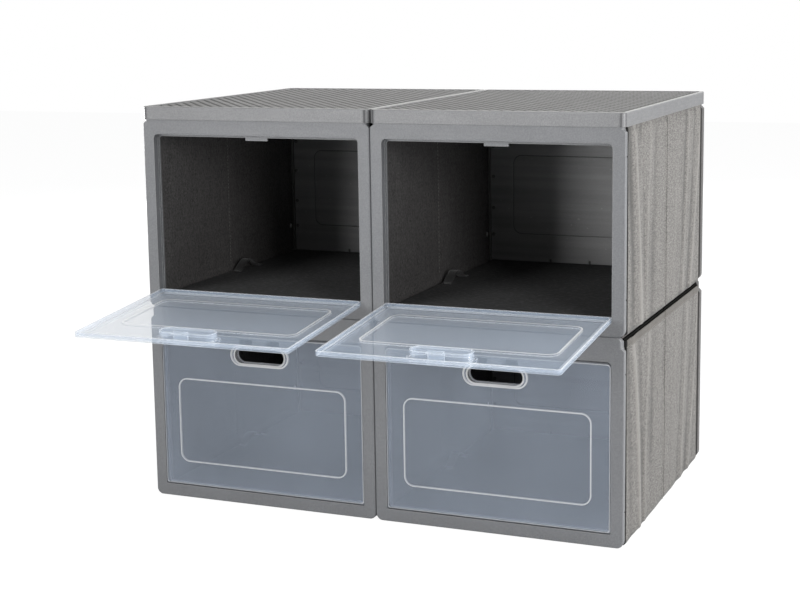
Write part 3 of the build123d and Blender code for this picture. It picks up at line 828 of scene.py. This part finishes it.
def make_lining_stud(row, column, word):
    """Small bright dome that pins the lining's rear edge, low on the wall."""
    side = SIDES[word]
    low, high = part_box(f"{row}_{column}_{word}_lining")
    origin = box_origin(row, column)
    inner = min(abs(low.x - origin.x), abs(high.x - origin.x))
    centre = Vector((origin.x + side * inner, high.y - 7.0 * MM, origin.z + 49.0 * MM))
    vertices = []
    for radius, rise in STUD_PROFILE:
        for k in range(STUD_SEGMENTS):
            turn = 2 * math.pi * k / STUD_SEGMENTS
            rim = Vector((-side * rise, radius * math.cos(turn), STUD_STRETCH * radius * math.sin(turn)))
            vertices.append(centre + rim * MM)
    tip = len(vertices)
    vertices.append(centre + Vector((-side * STUD_TIP, 0, 0)))
    faces = [(a, d, c, b) for a, b, c, d in tube_faces(0, len(STUD_PROFILE), STUD_SEGMENTS)]
    last = tip - STUD_SEGMENTS
    for k in range(STUD_SEGMENTS):
        faces.append((last + k, last + (k + 1) % STUD_SEGMENTS, tip))
    faces.append(tuple(reversed(range(STUD_SEGMENTS))))
    piece = new_piece(f"{row}_{column}_{word}_lining_stud", vertices, faces, [RIVET])
    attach(piece, body_of_box(row, column))


# ----------------------------------------------------- felt board and its loop

FELT_CORNER = 1.6 * MM  # radius of the felt board's edges
LOOP_STITCH = (2.1 * MM, 0.5 * MM, 0.3 * MM)


def board_lines(low, high):
    """Grid lines of the felt board, closer together at both edges."""
    rim = [d * MM for d in (0.5, 1.0, 1.6, 3.0)]
    return merged(steps(low, high, 4.7 * MM) + [low + d for d in rim] + [high - d for d in rim])


def make_base_board(row, column, seed):
    """Felt-wrapped board with rounded edges, soft dips and a top that sinks a little away from them."""
    node = f"{row}_{column}_base_board"
    low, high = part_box(node)
    thickness = high.z - low.z

    def rounding(x, y):
        outside = max(0.0, FELT_CORNER - to_edge(x, y, low, high))
        return FELT_CORNER - math.sqrt(max(0.0, FELT_CORNER ** 2 - outside ** 2))

    def top(x, y):
        dip = 0.35 * wander(x * 18, y * 18, seed) + 0.15 * wander(x * 70, y * 70, seed)
        sink = MM * (0.35 - dip) * smoothstep(to_edge(x, y, low, high), 0.0, 6 * MM) * 0.7
        return low.z + (thickness - rounding(x, y) - sink)

    piece = level_slab(f"{node}_felt", board_lines(low.x, high.x), board_lines(low.y, high.y), top,
                       lambda x, y: low.z + rounding(x, y), FELT)
    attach(piece, f"{row}_{column}_base_board")
    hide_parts(node)


# Across the strap: each point's share of the width, and its share of the thickness
STRAP_PROFILE = ((-0.5, 0.25), (-0.47, 0.8), (-0.3, 1.0), (0.0, 0.92), (0.3, 1.0), (0.47, 0.8), (0.5, 0.25))


def make_pull_loop(row, column):
    """Webbing loop: a soft arch on two sewn feet, each with a stitched square."""
    node = f"{row}_{column}_pull_loop"
    low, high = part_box(node)
    body = f"{row}_{column}_base_board"
    width = high.x - low.x
    middle_x, middle_y = (low.x + high.x) / 2, (low.y + high.y) / 2
    foot, thickness = 9 * MM, 1.2 * MM
    half = (high.y - low.y) / 2 - foot
    rise = high.z - low.z - thickness
    arch_half = half + 0.1 * foot  # the arch starts a little way along each foot
    line = [(-half - foot + foot * k / 4 * 0.9, thickness / 2) for k in range(5)]
    for k in range(1, 16):
        t = k / 16
        y = -arch_half + 2 * arch_half * t
        line.append((y, thickness / 2 + rise * math.sin(math.pi * t) ** 1.25))
    line += [(arch_half + foot * k / 4 * 0.9, thickness / 2) for k in range(5)]
    vertices = []
    for index, (y, z) in enumerate(line):
        before, after = line[max(0, index - 1)], line[min(len(line) - 1, index + 1)]
        slope = Vector((0, after[0] - before[0], after[1] - before[1])).normalized()
        up = Vector((0, -slope.z, slope.y))
        centre = Vector((middle_x, middle_y + y, low.z + z))
        for sign, profile in ((1, STRAP_PROFILE), (-1, STRAP_PROFILE[::-1])):
            vertices += [centre + Vector((width * share, 0, 0)) + up * (sign * thickness / 2 * puff)
                         for share, puff in profile]
    count = 2 * len(STRAP_PROFILE)
    faces = list(tube_faces(0, len(line), count))
    faces.append(tuple(range(count)))
    faces.append(tuple(reversed(range(len(vertices) - count, len(vertices)))))
    piece = new_piece(f"{node}_strap", vertices, faces, [WEBBING])
    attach(piece, body)
    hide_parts(node)
    top = low.z + thickness
    for end, sign in (("front", -1), ("back", 1)):
        centre_y = middle_y + sign * (half + 0.55 * foot)
        lengthwise = [(middle_x + dx, centre_y + dy, top) for dx in (-0.36 * width, 0.36 * width)
                      for dy in (-2.4 * MM, 0.0, 2.4 * MM)]
        crosswise = [(middle_x + dx * 0.22 * width, centre_y + dy, top) for dx in (-1, 0, 1)
                     for dy in (-3.5 * MM, 3.5 * MM)]
        for word, points, along in (("sides", lengthwise, (0, 1, 0)), ("bars", crosswise, (1, 0, 0))):
            sew(f"{node}_{end}_{word}_stitches", points, along, (0, 0, 1), LOOP_STITCH, BLACK_THREAD, body)


# ------------------------------------------------------------- lid's texture

DIAMOND = (13.5 * MM, 17.5 * MM)  # about, as a whole number of them fits the field
DIAMOND_RISE = 0.75 * MM
DIAMOND_FLAT = 0.52  # size of its flat top, as a share of its foot
FIELD_INSET, FIELD_CORNER = 6.2 * MM, 6 * MM


def make_lid_field(column):
    """Embossed diamonds over the lid's sunken field."""
    low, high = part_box(f"{column}_lid")
    centre = (low + high) / 2
    surface = high.z - FIELD_SUNK - 0.02 * MM
    half_x, half_y = (high.x - low.x) / 2 - FIELD_INSET, (high.y - low.y) / 2 - FIELD_INSET
    wide = 2 * half_x / round(2 * half_x / DIAMOND[0])
    deep = 2 * half_y / round(2 * half_y / DIAMOND[1])

    def inside(x, y):
        qx, qy = abs(x) - half_x + FIELD_CORNER, abs(y) - half_y + FIELD_CORNER
        if max(abs(x) - half_x, abs(y) - half_y) > 1e-7:
            return False
        return qx <= 0 or qy <= 0 or qx * qx + qy * qy <= FIELD_CORNER * FIELD_CORNER

    corners, vertices, faces = {}, [], []

    def vertex(x, y):
        key = (round(x / (wide / 2)), round(y / (deep / 2)))
        if key not in corners:
            corners[key] = len(vertices)
            vertices.append((centre.x + x, centre.y + y, surface))
        return corners[key]

    columns, rows = round(2 * half_x / (wide / 2)), round(2 * half_y / (deep / 2))
    for j in range(1, rows):
        for i in range(1, columns):
            if (i + j) % 2:
                continue
            x, y = -half_x + i * wide / 2, -half_y + j * deep / 2
            ring = [(x + wide / 2, y), (x, y + deep / 2), (x - wide / 2, y), (x, y - deep / 2)]
            if not all(inside(px, py) for px, py in ring):
                continue
            base = [vertex(px, py) for px, py in ring]
            top = []
            for px, py in ring:
                top.append(len(vertices))
                vertices.append((centre.x + x + (px - x) * DIAMOND_FLAT,
                                 centre.y + y + (py - y) * DIAMOND_FLAT, surface + DIAMOND_RISE))
            for k in range(4):
                faces.append((base[k], base[(k + 1) % 4], top[(k + 1) % 4], top[k]))
            faces.append(tuple(top))
    piece = new_piece(f"{column}_lid_diamond_field", vertices, faces, [LID_FIELD], smooth=False)
    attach(piece, f"{column}_lid")


# ---------------------------------------------------------- stage and camera

LIGHTS = (  # name, place, what it points at, width and height, watts
    ("side_softbox", (2.6, 0.35, 0.9), (0.2, 0.1, 0.28), (1.4, 1.6), 82),
    ("right_softbox", (2.05, -1.95, 0.9), (0.0, 0.1, 0.30), (0.8, 1.2), 26),
    ("left_softbox", (-1.9, -4.4, 1.15), (0.1, 0.2, 0.28), (2.0, 2.2), 128),
    ("top_softbox", (0.3, 0.15, 2.4), (0.0, 0.0, 0.4), (2.2, 1.6), 34),
    ("back_softbox", (-0.4, 3.0, 0.95), (0.1, 0.0, 0.5), (3.0, 0.9), 9),
    ("low_back_softbox", (-1.5, 2.8, 0.25), (0.0, 0.3, 0.25), (2.2, 0.36), 42),
    ("low_left_softbox", (-3.0, 0.7, 0.25), (-0.3, 0.1, 0.25), (1.8, 0.36), 42),
)
FLOOR_HALF = 6.0
FLOOR_Z = -0.4 * MM

# The camera, solved from the corners of the frames, plates and lids in the photograph
CAMERA_TURN = (-22.849, -8.981, -0.868)  # yaw, pitch and roll in degrees
CAMERA_PLACE = Vector((0.7343, FRONT_Y - 1.6573, 0.6072))
CAMERA_LENS, CAMERA_SHIFT = 71.56, -0.06


def make_floor():
    """Pale floor that the camera sees nearly white."""
    half = FLOOR_HALF
    corners = [(-half, -half, 0), (half, -half, 0), (half, half, 0), (-half, half, 0)]
    s = Shader("pale_floor")
    plain = s.node("BsdfDiffuse", Color=colour(0.55, 0.55, 0.55))
    pale = s.node("BsdfDiffuse", Color=colour(0.14, 0.14, 0.14))
    glow = s.node("Emission", Color=colour(1, 1, 1), Strength=0.93)
    seen = s.node("AddShader", i0=pale, i1=glow)
    for_camera = s.node("LightPath").outputs["Is Camera Ray"]
    material = s.finish(s.node("MixShader", Fac=for_camera, i1=plain, i2=seen))
    floor = new_piece("studio_floor", corners, [(0, 1, 2, 3)], [material], smooth=False)
    floor.location.z = FLOOR_Z


def make_light(name, place, target, size, power):
    lamp = bpy.data.lights.new(name, "AREA")
    lamp.shape = "RECTANGLE"
    lamp.size, lamp.size_y = size
    lamp.energy = power
    light = bpy.data.objects.new(name, lamp)
    bpy.context.scene.collection.objects.link(light)
    light.location = place
    light.visible_camera = False
    light.rotation_mode = "QUATERNION"
    light.rotation_quaternion = (Vector(target) - Vector(place)).to_track_quat("-Z", "Y")


def make_world():
    """Plain white surroundings for the camera, and a softer grey light from all round."""
    world = bpy.data.worlds.new("studio")
    bpy.context.scene.world = world
    world.use_nodes = True
    nodes, links = world.node_tree.nodes, world.node_tree.links
    nodes.clear()
    mixed = nodes.new("ShaderNodeMixShader")
    backgrounds = ((colour(0.97, 0.985, 1.0), 0.30), (colour(1, 1, 1), 1.0))  # what lights, what is seen
    for index, (tone, strength) in enumerate(backgrounds):
        background = nodes.new("ShaderNodeBackground")
        background.inputs["Color"].default_value = tone
        background.inputs["Strength"].default_value = strength
        links.new(background.outputs[0], mixed.inputs[1 + index])
    links.new(nodes.new("ShaderNodeLightPath").outputs["Is Camera Ray"], mixed.inputs[0])
    links.new(mixed.outputs[0], nodes.new("ShaderNodeOutputWorld").inputs["Surface"])


def make_camera():
    data = bpy.data.cameras.new("camera")
    camera = bpy.data.objects.new("camera", data)
    bpy.context.scene.collection.objects.link(camera)
    yaw, pitch, roll = (math.radians(angle) for angle in CAMERA_TURN)
    ahead = Vector((math.sin(yaw) * math.cos(pitch), math.cos(yaw) * math.cos(pitch), math.sin(pitch)))
    level = Vector((math.cos(yaw), -math.sin(yaw), 0.0))
    upright = level.cross(ahead)
    right = level * math.cos(roll) + upright * math.sin(roll)
    up = upright * math.cos(roll) - level * math.sin(roll)
    turned = Matrix((right, up, -ahead)).transposed()
    camera.matrix_world = Matrix.Translation(CAMERA_PLACE) @ turned.to_4x4()
    data.sensor_width = 36.0
    data.lens = CAMERA_LENS
    data.shift_y = CAMERA_SHIFT
    data.dof.use_dof = False
    data.clip_start, data.clip_end = 0.05, 50.0
    bpy.context.scene.camera = camera


# --------------------------------------------------------------------- build

paint_cad_nodes()
for number, (row, column) in enumerate(BOXES):
    for word, side in SIDES.items():
        seed = 3.7 * number + 11.3 * side
        make_outer_fabric(row, column, word, seed)
        make_gap_shade_strip(row, column, word)
        make_lining(row, column, word, seed + 1.9)
        make_lining_stud(row, column, word)
    make_floor_cloth(row, column, number + 7.5)
    make_base_board(row, column, number + 0.5)
    make_pull_loop(row, column)
for column in COLUMNS:
    make_lid_field(column)
make_floor()
make_world()
for light in LIGHTS:
    make_light(*light)
bpy.context.scene.view_settings.view_transform = "Standard"
make_camera()
